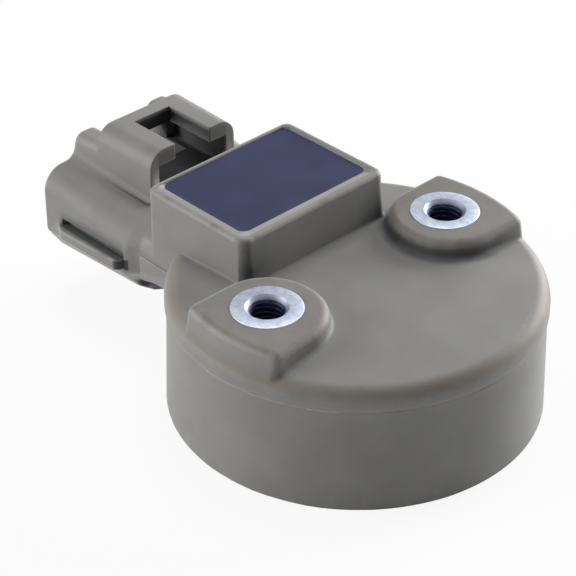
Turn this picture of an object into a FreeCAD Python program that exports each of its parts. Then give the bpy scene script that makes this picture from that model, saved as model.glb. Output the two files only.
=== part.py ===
import FreeCAD, Part
import math
import os

# Camshaft position sensor: a moulded cap over a rotating vane, with a potted electronics box,
# two metal screw bushes and a three-blade connector at its side. Millimetres, +Z up.
# The origin is the centre of the cup's mounting face, and the connector points along -X.

V = FreeCAD.Vector

# Shared clearances
OVERRUN = 1.0            # how far a cutting tool runs past the face that it opens
TOUCH = 0.001            # a point this close to a face lies on it
FIT_GAP = 0.1            # between an inner piece and the pocket that takes it

# Cup
RIM_RADIUS = 27.0        # above the parting line
RIM_STEP = 0.3           # the skirt is this much smaller just below the parting line
SKIRT_DRAFT = 0.5        # and this much larger again at the mounting face
CUP_HEIGHT = 20.4        # flat middle of the disc
PARTING_DEPTH = 4.0      # from there down to the parting line
CROWN_START = 15.0       # the disc falls away outside this radius
CROWN_BLEND = 80.0       # radius that blends the flat into the slope
RIM_FALL = 0.8           # the slope would meet the cup's wall this much lower
RIM_ROUND = 2.3
FOOT_CHAMFER = 0.3
CUP_WALL = 2.7
CUP_ROOF = 3.6           # thickness of the disc at its middle
CAVITY_DRAFT = 0.2       # the cavity is this much narrower at its roof
CAVITY_ROUND = 1.0
MOUTH_CHAMFER = 0.6

# Screw bushes and the bosses and columns that hold them
BUSH_SPACING = 35.1
BUSH_LINE_X = 0.3        # the screws stand a little ahead of the cup's axis
BUSH_RADIUS = 5.1
BUSH_PROUD = 0.15        # how far a bush stands out of its boss
BUSH_BORE_RADIUS = 2.1   # under the thread
BUSH_BORE_CHAMFER = 0.6
BUSH_EDGE_CHAMFER = 0.3
BUSH_GROOVE_WIDTH = 1.6
BUSH_GROOVE_DEPTH = 0.5
BUSH_GROOVE_PITCH = 7.0
BOSS_HEIGHT = 2.6        # above the disc
BOSS_RADIUS = 8.1
BOSS_FLARE = 1.2         # the front side runs out this much further forward
BOSS_LEAN = 1.2          # the outer wall is this much further in at the top
BOSS_TOP_ROUND = 1.3
BOSS_CORNER_ROUND = 1.3
BOSS_FOOT_FILLET = 0.8   # where the bosses rise from the disc
COLUMN_RADIUS = 7.0

# Electronics box
BOX_REAR_X = -28.6
BOX_FRONT_X = -8.3       # at its top
BOX_FRONT_DRAFT = 0.7    # the front wall is this much further out at the disc
BOX_HALF_WIDTH = 13.9
BOX_HEIGHT = 7.1         # above the disc
BOX_CORNER_ROUND = 1.5
BOX_TOP_ROUND = 0.7
BOX_FOOT_FILLET = 0.5     # where the box rises from the disc
BOX_REAR_WALL = 1.3
BOX_FRONT_WALL = 1.8
BOX_SIDE_WALL = 1.7
BOX_FLOOR = 3.2          # above the cup's ceiling
BOX_CAVITY_ROUND = 1.4
POTTING_BELOW_RIM = 0.3

# Connector shroud, with the latch hump on top
MOUTH_X = -50.7
SHROUD_REAR_X = -32.8
SHROUD_DRAFT = 0.5       # the sides and the bottom are this much further in at the rear
SHROUD_FALL = 2.0        # and the top is this much lower there
SHROUD_HALF_WIDTH = 15.6
SHROUD_TOP = 21.5
SHROUD_TOP_ROUND = 3.7   # at the mouth
SHROUD_TOP_REAR_ROUND = 5.2
SHROUD_BEND_Z = 11.2     # the sides lean in below this height
SHROUD_BEND_ROUND = 1.5
SHROUD_BOTTOM_HALF_WIDTH = 12.75
SHROUD_BOTTOM = 7.1
SHROUD_BOTTOM_ROUND = 1.6
SHROUD_WALL = 1.8
SHROUD_EDGE_ROUND = 0.5  # round the mouth's outer edge
SOCKET_DEPTH = 16.0
SOCKET_BOTTOM_ROUND = 0.8
HUMP_TOP = 28.0
HUMP_TOP_HALF_WIDTH = 8.15
HUMP_FOOT_HALF_WIDTH = 9.9       # at the mouth
HUMP_FOOT_REAR_HALF_WIDTH = 8.2
HUMP_TOP_ROUND = 2.8
HUMP_FOOT_ROUND = 2.0            # at the mouth
HUMP_FOOT_REAR_ROUND = 1.2
HUMP_FRONT_X = -45.7
HUMP_REAR_X = -34.2
EAR_TOP = 25.2
EAR_ROUND = 1.7
LATCH_THROAT_HALF_WIDTH = 4.7
LATCH_CHANNEL_HALF_WIDTH = 6.6
LATCH_FLOOR_Z = 21.0
LATCH_ROOF = 2.5
WINDOW_HALF_WIDTH = 3.4
WINDOW_FRONT_X = -43.3
LATCH_FLOOR_FRONT_X = -41.2  # in front of it the latch space is open to the socket

# Keying rail and relief groove low on each side of the shroud
RAIL_NOSE_X = -48.9      # the nose starts inside the shroud's wall
RAIL_NOSE_HALF_WIDTH = 15.0
RAIL_NOSE_ROUND = 2.0
RAIL_FRONT_X = -45.6
RAIL_REAR_X = -32.9
RAIL_HALF_WIDTH = 16.9
RAIL_REAR_HALF_WIDTH = 16.45
RAIL_REAR_ROUND = 1.2
RAIL_EDGE_ROUND = 0.3
RAIL_BOTTOM = 12.1
RAIL_TOP = 13.7
GROOVE_FRONT_X = -46.6
GROOVE_HEIGHT = 1.1
GROOVE_DEPTH = 1.1

# Neck between the shroud and the cup
NECK_FRONT_X = -22.0     # hidden in the cup's wall
NECK_REAR_X = -30.4
NECK_HALF_WIDTH = 13.9
NECK_TOP = 18.8
NECK_TOP_ROUND = 3.2
NECK_BEND_Z = 11.5
NECK_BOTTOM_HALF_WIDTH = 11.7
NECK_BOTTOM = 7.8
NECK_RISE = 4.8          # the neck's underside climbs this much towards the cup
NECK_STEP = 0.25         # the lower mould half is this much wider
NECK_STEP_Z = 15.1
NECK_PIT_X = -30.0
NECK_PIT_LENGTH = 3.8
NECK_PIT_RADIUS = 1.1
NECK_PIT_DEPTH = 1.2

# Sensing legs, one on each side of the slot that the vane runs through
SLOT_CENTRE_X = -10.0
SLOT_WIDTH = 4.4
LEG_HALF_WIDTH = 5.5
LEG_FOOT_Z = 3.0
LEG_ROUND = 0.8
LEG_FACE_WALL = 0.9      # between a pocket and the slot
LEG_BACK_WALL = 0.9
HALL_POCKET_DEPTH_X = 3.4
HALL_POCKET_HALF_WIDTH = 3.0
HALL_POCKET_FLOOR_Z = 4.2
MAGNET_POCKET_HALF_WIDTH = 3.1
MAGNET_POCKET_TOP_Z = 10.2

# Terminals
TERMINAL_PITCH = 6.5
TERMINAL_Z = 13.6
TERMINAL_TIP_X = -46.4
TERMINAL_RISE_X = -25.5  # where the blade turns up into the box
BLADE_WIDTH = 2.8
BLADE_THICKNESS = 0.8
BLADE_TIP_CHAMFER = 0.35
PIN_WIDTH = 1.2
PIN_ABOVE_BOARD = 0.7

# Circuit board and what it carries
BOARD_ABOVE_FLOOR = 1.2
BOARD_THICKNESS = 1.6
BOARD_EDGE_GAP = 0.7
BOARD_HOLE_GAP = 0.2
CHIP_LENGTH = 3.2
CHIP_WIDTH = 1.6
CAPACITOR_HEIGHT = 1.3
RESISTOR_HEIGHT = 0.6
DIODE_LENGTH = 4.3
DIODE_WIDTH = 2.6
DIODE_HEIGHT = 2.1

# Hall element in the outer leg
HALL_WIDTH = 4.1
HALL_HEIGHT = 3.0
HALL_THICKNESS = 1.5
HALL_FOOT_Z = 5.0
LEAD_SIZE = 0.4
LEAD_PITCH = 1.27
CONCENTRATOR_THICKNESS = 1.0
CONCENTRATOR_WIDTH = 3.6

# Magnet in the inner leg
MAGNET_THICKNESS = 2.4
MAGNET_WIDTH = 6.0
MAGNET_HEIGHT = 5.4
MAGNET_PLATE = 0.8
ADHESIVE_INSET = 0.3     # the adhesive ends this far inside the leg's foot

# Heights and places that follow from the sizes above
SKIRT_RADIUS = RIM_RADIUS - RIM_STEP
FOOT_RADIUS = SKIRT_RADIUS + SKIRT_DRAFT
PARTING_HEIGHT = CUP_HEIGHT - PARTING_DEPTH
RIM_HEIGHT = CUP_HEIGHT - RIM_FALL
CUP_CEILING = CUP_HEIGHT - CUP_ROOF
BOSS_TOP = CUP_HEIGHT + BOSS_HEIGHT
BUSH_TOP = BOSS_TOP + BUSH_PROUD
BOX_TOP = CUP_HEIGHT + BOX_HEIGHT
BOX_FLOOR_Z = CUP_CEILING + BOX_FLOOR
BOX_CAVITY_REAR_X = BOX_REAR_X + BOX_REAR_WALL
BOX_CAVITY_FRONT_X = BOX_FRONT_X - BOX_FRONT_WALL
BOX_CAVITY_HALF_WIDTH = BOX_HALF_WIDTH - BOX_SIDE_WALL
LATCH_CEILING_Z = HUMP_TOP - LATCH_ROOF
SHROUD_LEAN = (SHROUD_HALF_WIDTH - SHROUD_BOTTOM_HALF_WIDTH) / (SHROUD_BEND_Z - SHROUD_BOTTOM)
THROAT_FLOOR_Z = SHROUD_TOP - SHROUD_FALL - SHROUD_WALL      # inside the socket
HALL_FACE_X = SLOT_CENTRE_X - SLOT_WIDTH / 2
HALL_POCKET_FRONT_X = HALL_FACE_X - LEG_FACE_WALL
HALL_POCKET_REAR_X = HALL_POCKET_FRONT_X - HALL_POCKET_DEPTH_X
HALL_LEG_REAR_X = HALL_POCKET_REAR_X - LEG_BACK_WALL
MAGNET_FACE_X = SLOT_CENTRE_X + SLOT_WIDTH / 2
MAGNET_POCKET_REAR_X = MAGNET_FACE_X + LEG_FACE_WALL
MAGNET_POCKET_FRONT_X = MAGNET_POCKET_REAR_X + MAGNET_THICKNESS + MAGNET_PLATE + 2 * FIT_GAP
MAGNET_LEG_FRONT_X = MAGNET_POCKET_FRONT_X + LEG_BACK_WALL
BOARD_Z = BOX_FLOOR_Z + BOARD_ABOVE_FLOOR
BOARD_TOP_Z = BOARD_Z + BOARD_THICKNESS
HALL_CHIP_X = HALL_POCKET_FRONT_X - FIT_GAP - HALL_THICKNESS
LEAD_X = HALL_CHIP_X + HALL_THICKNESS / 2


def on_plan(z):
    return lambda u, v: V(u, v, z)


def on_side(y):
    return lambda u, v: V(u, y, v)


def on_section(x):
    return lambda u, v: V(x, u, v)


# A closed face through corners (u, v, radius), each rounded by an arc tangent to its two sides.
def rounded_face(corners, place):
    bends = []
    for i, (u, v, radius) in enumerate(corners):
        here = V(u, v, 0)
        before = V(corners[i - 1][0], corners[i - 1][1], 0) - here
        after_corner = corners[(i + 1) % len(corners)]
        after = V(after_corner[0], after_corner[1], 0) - here
        before.normalize()
        after.normalize()
        half_angle = before.getAngle(after) / 2
        reach = radius / math.tan(half_angle)
        bisector = (before + after).normalize()
        middle = here + bisector * (radius / math.sin(half_angle) - radius)
        bends.append((here + before * reach, middle, here + after * reach, radius))
    edges = []
    for i, (start, middle, end, radius) in enumerate(bends):
        last_end = bends[i - 1][2]
        if last_end.distanceToPoint(start) > Part.Precision.confusion():
            edges.append(Part.LineSegment(place(last_end.x, last_end.y), place(start.x, start.y)).toShape())
        if radius > 0:
            arc = Part.Arc(place(start.x, start.y), place(middle.x, middle.y), place(end.x, end.y))
            edges.append(arc.toShape())
    return Part.Face(Part.Wire(edges))


def mirrored_corners(half):
    return half + [(-u, v, radius) for u, v, radius in reversed(half)]


def block(low, high):
    return Part.makeBox(high[0] - low[0], high[1] - low[1], high[2] - low[2], V(*low))


def rounded_block(low, high, radius):
    corners = [
        (low[0], low[1], radius),
        (high[0], low[1], radius),
        (high[0], high[1], radius),
        (low[0], high[1], radius),
    ]
    return rounded_face(corners, on_plan(low[2])).extrude(V(0, 0, high[2] - low[2]))


def turned(corners):
    return rounded_face(corners, on_side(0)).revolve(V(0, 0, 0), V(0, 0, 1), 360)


def fillet_where(shape, radius, test):
    return shape.makeFillet(radius, [edge for edge in shape.Edges if test(edge.BoundBox, edge)])


def near(value, target):
    return abs(value - target) < 0.01


def mirrored(shape):
    return shape.mirror(V(0, 0, 0), V(0, 1, 0))


def both_sides(shape):
    return shape.fuse(mirrored(shape))


def bush_y(side):
    return side * BUSH_SPACING / 2


# Cup

def cup_outside():
    return turned([
        (0, 0, 0),
        (FOOT_RADIUS - FOOT_CHAMFER, 0, 0),
        (FOOT_RADIUS, FOOT_CHAMFER, 0),
        (SKIRT_RADIUS, PARTING_HEIGHT, 0),
        (RIM_RADIUS, PARTING_HEIGHT, 0),
        (RIM_RADIUS, RIM_HEIGHT, RIM_ROUND),
        (CROWN_START, CUP_HEIGHT, CROWN_BLEND),
        (0, CUP_HEIGHT, 0),
    ])


def cup_cavity():
    inside = SKIRT_RADIUS - CUP_WALL
    mouth = inside + CAVITY_DRAFT
    return turned([
        (0, -OVERRUN, 0),
        (mouth + MOUTH_CHAMFER + OVERRUN, -OVERRUN, 0),
        (mouth, MOUTH_CHAMFER, 0),
        (inside, CUP_CEILING, CAVITY_ROUND),
        (0, CUP_CEILING, 0),
    ])


# The bosses' outer walls rise from the cup's wall and lean in a little.
def boss_limit():
    return turned([
        (0, 0, 0),
        (RIM_RADIUS, 0, 0),
        (RIM_RADIUS, PARTING_HEIGHT, 0),
        (RIM_RADIUS - BOSS_LEAN, BOSS_TOP, 0),
        (0, BOSS_TOP, 0),
    ])


# A boss is round about its bush, and its two sides run out to the cup's wall, the front one flaring.
def boss(side):
    left = BUSH_LINE_X - BOSS_RADIUS
    right = BUSH_LINE_X + BOSS_RADIUS
    inner = bush_y(side) - side * BOSS_RADIUS
    outer = side * (RIM_RADIUS + OVERRUN)
    outline = [
        (left, outer, 0),
        (left, inner, BOSS_RADIUS),
        (right, inner, BOSS_RADIUS),
        (right + BOSS_FLARE, outer, 0),
    ]
    root = CUP_CEILING + CUP_ROOF / 2
    stub = rounded_face(outline, on_plan(root)).extrude(V(0, 0, BOSS_TOP - root))
    stub = stub.common(Part.makeCylinder(RIM_RADIUS, BOSS_TOP)).common(boss_limit())
    stub = fillet_where(stub, BOSS_CORNER_ROUND, lambda box, edge: box.ZLength > BOSS_HEIGHT
                        and abs(box.YMin) > abs(bush_y(side)) and abs(box.YMax) > abs(bush_y(side)))
    return fillet_where(stub, BOSS_TOP_ROUND, lambda box, edge: near(box.ZMin, BOSS_TOP))


def column(side):
    post = Part.makeCylinder(COLUMN_RADIUS, CUP_CEILING + CUP_ROOF / 2, V(BUSH_LINE_X, bush_y(side), 0))
    return post.common(Part.makeCylinder(SKIRT_RADIUS - CUP_WALL / 2, CUP_HEIGHT))


# Electronics box

def box_outside():
    slope = BOX_FRONT_DRAFT / BOX_HEIGHT
    foot_x = BOX_FRONT_X + slope * (BOX_TOP - NECK_STEP_Z)
    wedge = rounded_face([
        (BOX_REAR_X, NECK_STEP_Z, 0),
        (BOX_REAR_X, BOX_TOP, 0),
        (BOX_FRONT_X, BOX_TOP, 0),
        (foot_x, NECK_STEP_Z, 0),
    ], on_side(-BOX_HALF_WIDTH)).extrude(V(0, 2 * BOX_HALF_WIDTH, 0))
    wedge = fillet_where(wedge, BOX_CORNER_ROUND, lambda box, edge: box.YLength < BOX_SIDE_WALL
                         and box.ZMax > CUP_HEIGHT and box.ZLength > BOX_FLOOR)
    return fillet_where(wedge, BOX_TOP_ROUND, lambda box, edge: near(box.ZMin, BOX_TOP))


def box_cavity():
    return rounded_block(
        (BOX_CAVITY_REAR_X, -BOX_CAVITY_HALF_WIDTH, BOX_FLOOR_Z),
        (BOX_CAVITY_FRONT_X, BOX_CAVITY_HALF_WIDTH, BOX_TOP + OVERRUN),
        BOX_CAVITY_ROUND,
    )


# What stands on the disc joins it with a fillet round its foot.
def stand_on(base, standing, radius):
    joined = base.fuse(standing).removeSplitter()

    def at_foot(box, edge):
        middle = edge.valueAt((edge.FirstParameter + edge.LastParameter) / 2)
        on_standing = any(shape.isInside(middle, TOUCH, True) for shape in standing)
        return box.ZMin > PARTING_HEIGHT + OVERRUN and on_standing and base.isInside(middle, TOUCH, True)

    return fillet_where(joined, radius, at_foot)


# Connector

# How far along the shroud a place is, from 0 at its mouth to 1 at its rear
def along_shroud(x):
    return (x - MOUTH_X) / (SHROUD_REAR_X - MOUTH_X)


# A size that changes evenly from the shroud's mouth to its rear
def between(at_mouth, at_rear, x):
    return at_mouth + (at_rear - at_mouth) * along_shroud(x)


def shroud_top(x):
    return SHROUD_TOP - SHROUD_FALL * along_shroud(x)


def shroud_half_outline(x):
    inset = SHROUD_DRAFT * along_shroud(x)
    return [
        (SHROUD_HALF_WIDTH - inset, shroud_top(x), between(SHROUD_TOP_ROUND, SHROUD_TOP_REAR_ROUND, x)),
        (SHROUD_HALF_WIDTH - inset, SHROUD_BEND_Z, SHROUD_BEND_ROUND),
        (SHROUD_BOTTOM_HALF_WIDTH - inset, SHROUD_BOTTOM + inset, SHROUD_BOTTOM_ROUND),
    ]


# The hump's foot corner: half width, height and round
def hump_foot(x):
    half_width = between(HUMP_FOOT_HALF_WIDTH, HUMP_FOOT_REAR_HALF_WIDTH, x)
    return half_width, shroud_top(x), between(HUMP_FOOT_ROUND, HUMP_FOOT_REAR_ROUND, x)


def hump_half_outline(x):
    return [(HUMP_TOP_HALF_WIDTH, HUMP_TOP, HUMP_TOP_ROUND), hump_foot(x)] + shroud_half_outline(x)


# In front of the hump its sides go on as two ears, with an open throat between them.
def ears_half_outline(x):
    foot_half_width, foot_z, foot_round = hump_foot(x)
    share = (HUMP_TOP - EAR_TOP) / (HUMP_TOP - foot_z)
    ear_half_width = HUMP_TOP_HALF_WIDTH + share * (foot_half_width - HUMP_TOP_HALF_WIDTH)
    ears = [
        (LATCH_THROAT_HALF_WIDTH, THROAT_FLOOR_Z, 0),
        (LATCH_THROAT_HALF_WIDTH, EAR_TOP, EAR_ROUND),
        (ear_half_width, EAR_TOP, EAR_ROUND),
        (foot_half_width, foot_z, foot_round),
    ]
    return ears + shroud_half_outline(x)


def neck_lower_half(half_width, rise):
    return [
        (half_width, NECK_BEND_Z + rise / 2, SHROUD_BEND_ROUND),
        (NECK_BOTTOM_HALF_WIDTH, NECK_BOTTOM + rise, SHROUD_BOTTOM_ROUND),
    ]


def neck_half_outline(rise):
    return [(NECK_HALF_WIDTH, NECK_TOP, NECK_TOP_ROUND)] + neck_lower_half(NECK_HALF_WIDTH, rise)


def neck_step_outline(rise):
    wide = NECK_HALF_WIDTH + NECK_STEP
    return [(wide, NECK_STEP_Z, 0)] + neck_lower_half(wide, rise)


def loft_along_x(front_half, front_x, rear_half, rear_x):
    front = rounded_face(mirrored_corners(front_half), on_section(front_x))
    rear = rounded_face(mirrored_corners(rear_half), on_section(rear_x))
    return Part.makeLoft([front.OuterWire, rear.OuterWire], True, True)


# The shroud tapers a little from its mouth, its hump stops short of its rear,
# and a last loft blends it into the narrower neck.
def shroud_outside():
    ears = loft_along_x(ears_half_outline(MOUTH_X), MOUTH_X, ears_half_outline(HUMP_FRONT_X), HUMP_FRONT_X)
    ears = fillet_where(ears, SHROUD_EDGE_ROUND, lambda box, edge: near(box.XMax, MOUTH_X))
    hump_rear = hump_half_outline(HUMP_REAR_X)
    hump = loft_along_x(hump_half_outline(HUMP_FRONT_X), HUMP_FRONT_X, hump_rear, HUMP_REAR_X)
    rear_half = shroud_half_outline(SHROUD_REAR_X)
    body = loft_along_x(shroud_half_outline(HUMP_REAR_X), HUMP_REAR_X, rear_half, SHROUD_REAR_X)
    blend = loft_along_x(rear_half, SHROUD_REAR_X, neck_half_outline(0), NECK_REAR_X)
    return ears.fuse([hump, body, blend])


def neck():
    core = loft_along_x(neck_half_outline(0), NECK_REAR_X, neck_half_outline(NECK_RISE), NECK_FRONT_X)
    lower = loft_along_x(neck_step_outline(0), NECK_REAR_X, neck_step_outline(NECK_RISE), NECK_FRONT_X)
    return core.fuse(lower)


# A rail comes out of the shroud's wall along a slanting nose and narrows towards its rear.
def rails():
    corners = [
        (RAIL_NOSE_X, -RAIL_NOSE_HALF_WIDTH, 0),
        (RAIL_FRONT_X, -RAIL_HALF_WIDTH, RAIL_NOSE_ROUND),
        (RAIL_REAR_X, -RAIL_REAR_HALF_WIDTH, RAIL_REAR_ROUND),
        (RAIL_REAR_X, 0, 0),
        (RAIL_NOSE_X, 0, 0),
    ]
    rail = rounded_face(corners, on_plan(RAIL_BOTTOM)).extrude(V(0, 0, RAIL_TOP - RAIL_BOTTOM))
    rail = fillet_where(rail, RAIL_EDGE_ROUND, lambda box, edge: near(box.ZMin, box.ZMax)
                        and box.YMin < -RAIL_NOSE_HALF_WIDTH - TOUCH)
    return both_sides(rail)


def rail_grooves():
    groove = block(
        (GROOVE_FRONT_X, -RAIL_HALF_WIDTH - OVERRUN, RAIL_TOP),
        (RAIL_REAR_X, GROOVE_DEPTH - SHROUD_HALF_WIDTH, RAIL_TOP + GROOVE_HEIGHT),
    )
    return both_sides(groove)


def neck_pits():
    lean = math.atan2(NECK_BEND_Z - NECK_BOTTOM, NECK_HALF_WIDTH - NECK_BOTTOM_HALF_WIDTH)
    inward = V(0, math.sin(lean), math.cos(lean))
    middle_y = -(NECK_HALF_WIDTH + NECK_BOTTOM_HALF_WIDTH) / 2
    middle_z = (NECK_BEND_Z + NECK_BOTTOM) / 2
    reach = NECK_PIT_LENGTH / 2 - NECK_PIT_RADIUS
    start = V(NECK_PIT_X - reach, middle_y, middle_z) - inward * OVERRUN
    end = start + V(2 * reach, 0, 0)
    depth = NECK_PIT_DEPTH + OVERRUN
    pit = Part.makeCylinder(NECK_PIT_RADIUS, depth, start, inward)
    pit = pit.fuse(Part.makeCylinder(NECK_PIT_RADIUS, depth, end, inward))
    across = V(0, -inward.z, inward.y) * NECK_PIT_RADIUS
    corners = [start - across, end - across, end + across, start + across, start - across]
    slab = Part.Face(Part.makePolygon(corners)).extrude(inward * depth)
    return both_sides(pit.fuse(slab))


# The shroud's outline moved in by the wall, with the lower sides leaning as they do outside
def socket_half_outline(x):
    top_corner, bend, bottom_corner = shroud_half_outline(x)
    half_width = top_corner[0] - SHROUD_WALL
    bottom = bottom_corner[1] + SHROUD_WALL
    return [
        (half_width, top_corner[1] - SHROUD_WALL, top_corner[2] - SHROUD_WALL),
        (half_width, bend[1], bend[2]),
        (half_width - (bend[1] - bottom) * SHROUD_LEAN, bottom, SOCKET_BOTTOM_ROUND),
    ]


def socket_cavity():
    front_x = MOUTH_X - OVERRUN
    rear_x = MOUTH_X + SOCKET_DEPTH
    return loft_along_x(socket_half_outline(front_x), front_x, socket_half_outline(rear_x), rear_x)


# The latch space: a channel under the roof with a floor at its rear, the window over it,
# and the way down into the socket in front of the floor.
def latch_space():
    rear = HUMP_REAR_X + OVERRUN
    channel = block(
        (HUMP_FRONT_X, -LATCH_CHANNEL_HALF_WIDTH, LATCH_FLOOR_Z),
        (rear, LATCH_CHANNEL_HALF_WIDTH, LATCH_CEILING_Z),
    )
    under_latch = block(
        (HUMP_FRONT_X, -LATCH_THROAT_HALF_WIDTH, THROAT_FLOOR_Z),
        (LATCH_FLOOR_FRONT_X, LATCH_THROAT_HALF_WIDTH, LATCH_CEILING_Z),
    )
    window = block(
        (WINDOW_FRONT_X, -WINDOW_HALF_WIDTH, LATCH_FLOOR_Z),
        (rear, WINDOW_HALF_WIDTH, HUMP_TOP + OVERRUN),
    )
    return channel.fuse([under_latch, window])


# Sensing legs

def hall_leg():
    return rounded_block(
        (HALL_LEG_REAR_X, -LEG_HALF_WIDTH, LEG_FOOT_Z),
        (HALL_FACE_X, LEG_HALF_WIDTH, CUP_CEILING + CUP_ROOF / 2),
        LEG_ROUND,
    )


def hall_pocket():
    return block(
        (HALL_POCKET_REAR_X, -HALL_POCKET_HALF_WIDTH, HALL_POCKET_FLOOR_Z),
        (HALL_POCKET_FRONT_X, HALL_POCKET_HALF_WIDTH, BOX_FLOOR_Z),
    )


def magnet_leg():
    return rounded_block(
        (MAGNET_FACE_X, -LEG_HALF_WIDTH, LEG_FOOT_Z),
        (MAGNET_LEG_FRONT_X, LEG_HALF_WIDTH, CUP_CEILING + CUP_ROOF / 2),
        LEG_ROUND,
    )


def magnet_pocket(foot_z):
    return block(
        (MAGNET_POCKET_REAR_X, -MAGNET_POCKET_HALF_WIDTH, foot_z),
        (MAGNET_POCKET_FRONT_X, MAGNET_POCKET_HALF_WIDTH, MAGNET_POCKET_TOP_Z),
    )


# Pieces inside the housing

def bush(side):
    groove_floor = BUSH_RADIUS - BUSH_GROOVE_DEPTH
    low_groove = (BUSH_TOP - BUSH_GROOVE_PITCH) / 2
    high_groove = (BUSH_TOP + BUSH_GROOVE_PITCH) / 2
    corners = [(BUSH_BORE_RADIUS, BUSH_BORE_CHAMFER, 0), (BUSH_BORE_RADIUS + BUSH_BORE_CHAMFER, 0, 0)]
    corners.append((BUSH_RADIUS, 0, 0))
    for middle in (low_groove, high_groove):
        corners.append((BUSH_RADIUS, middle - BUSH_GROOVE_WIDTH / 2, 0))
        corners.append((groove_floor, middle - BUSH_GROOVE_WIDTH / 2, 0))
        corners.append((groove_floor, middle + BUSH_GROOVE_WIDTH / 2, 0))
        corners.append((BUSH_RADIUS, middle + BUSH_GROOVE_WIDTH / 2, 0))
    corners.append((BUSH_RADIUS, BUSH_TOP - BUSH_EDGE_CHAMFER, 0))
    corners.append((BUSH_RADIUS - BUSH_EDGE_CHAMFER, BUSH_TOP, 0))
    corners.append((BUSH_BORE_RADIUS + BUSH_BORE_CHAMFER, BUSH_TOP, 0))
    corners.append((BUSH_BORE_RADIUS, BUSH_TOP - BUSH_BORE_CHAMFER, 0))
    return turned(corners).translated(V(BUSH_LINE_X, bush_y(side), 0))


def bush_core(side):
    return Part.makeCylinder(BUSH_BORE_RADIUS + BUSH_BORE_CHAMFER, BUSH_TOP, V(BUSH_LINE_X, bush_y(side), 0))


def terminal(y):
    low = TERMINAL_Z - BLADE_THICKNESS / 2
    high = TERMINAL_Z + BLADE_THICKNESS / 2
    rear = TERMINAL_RISE_X + BLADE_THICKNESS / 2
    side_view = rounded_face([
        (TERMINAL_TIP_X, TERMINAL_Z, 0),
        (TERMINAL_TIP_X + BLADE_THICKNESS, low, 0),
        (rear, low, 0),
        (rear, high, 0),
        (TERMINAL_TIP_X + BLADE_THICKNESS, high, 0),
    ], on_side(y - BLADE_WIDTH / 2)).extrude(V(0, BLADE_WIDTH, 0))
    blade = fillet_where(side_view, BLADE_TIP_CHAMFER, lambda box, edge: near(box.XMin, TERMINAL_TIP_X)
                         and box.YLength < BLADE_TIP_CHAMFER)
    pin = block(
        (TERMINAL_RISE_X - BLADE_THICKNESS / 2, y - PIN_WIDTH / 2, low),
        (rear, y + PIN_WIDTH / 2, BOARD_TOP_Z + PIN_ABOVE_BOARD),
    )
    return blade.fuse(pin).removeSplitter()


def hall_chip():
    return block(
        (HALL_CHIP_X, -HALL_WIDTH / 2, HALL_FOOT_Z),
        (HALL_CHIP_X + HALL_THICKNESS, HALL_WIDTH / 2, HALL_FOOT_Z + HALL_HEIGHT),
    )


def hall_lead(y):
    return block(
        (LEAD_X - LEAD_SIZE / 2, y - LEAD_SIZE / 2, HALL_FOOT_Z + HALL_HEIGHT),
        (LEAD_X + LEAD_SIZE / 2, y + LEAD_SIZE / 2, BOARD_TOP_Z + PIN_ABOVE_BOARD),
    )


def flux_concentrator():
    return block(
        (HALL_CHIP_X - CONCENTRATOR_THICKNESS, -CONCENTRATOR_WIDTH / 2, HALL_FOOT_Z),
        (HALL_CHIP_X, CONCENTRATOR_WIDTH / 2, HALL_FOOT_Z + HALL_HEIGHT),
    )


def magnet():
    low_x = MAGNET_POCKET_REAR_X + FIT_GAP
    high_z = MAGNET_POCKET_TOP_Z - FIT_GAP
    return block(
        (low_x, -MAGNET_WIDTH / 2, high_z - MAGNET_HEIGHT),
        (low_x + MAGNET_THICKNESS, MAGNET_WIDTH / 2, high_z),
    )


def magnet_plate():
    low_x = MAGNET_POCKET_REAR_X + FIT_GAP + MAGNET_THICKNESS
    high_z = MAGNET_POCKET_TOP_Z - FIT_GAP
    return block(
        (low_x, -MAGNET_WIDTH / 2, high_z - MAGNET_HEIGHT),
        (low_x + MAGNET_PLATE, MAGNET_WIDTH / 2, high_z),
    )


def circuit_board():
    board = rounded_block(
        (BOX_CAVITY_REAR_X + BOARD_EDGE_GAP, BOARD_EDGE_GAP - BOX_CAVITY_HALF_WIDTH, BOARD_Z),
        (BOX_CAVITY_FRONT_X - BOARD_EDGE_GAP, BOX_CAVITY_HALF_WIDTH - BOARD_EDGE_GAP, BOARD_TOP_Z),
        BOX_CAVITY_ROUND,
    )
    holes = []
    for y in TERMINAL_PLACES.values():
        holes.append(board_hole(TERMINAL_RISE_X, y, BLADE_THICKNESS, PIN_WIDTH))
    for y in LEAD_PLACES.values():
        holes.append(board_hole(LEAD_X, y, LEAD_SIZE, LEAD_SIZE))
    return board.cut(holes)


def board_hole(x, y, size_x, size_y):
    reach_x = size_x / 2 + BOARD_HOLE_GAP
    reach_y = size_y / 2 + BOARD_HOLE_GAP
    low = (x - reach_x, y - reach_y, BOARD_Z - OVERRUN)
    high = (x + reach_x, y + reach_y, BOARD_TOP_Z + OVERRUN)
    return block(low, high)


def on_board(x, y, length, width, height):
    low = (x - length / 2, y - width / 2, BOARD_TOP_Z)
    return block(low, (x + length / 2, y + width / 2, BOARD_TOP_Z + height))


TERMINAL_PLACES = {"supply": -TERMINAL_PITCH, "signal": 0, "ground": TERMINAL_PITCH}
LEAD_PLACES = {"supply": -LEAD_PITCH, "ground": 0, "signal": LEAD_PITCH}


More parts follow.
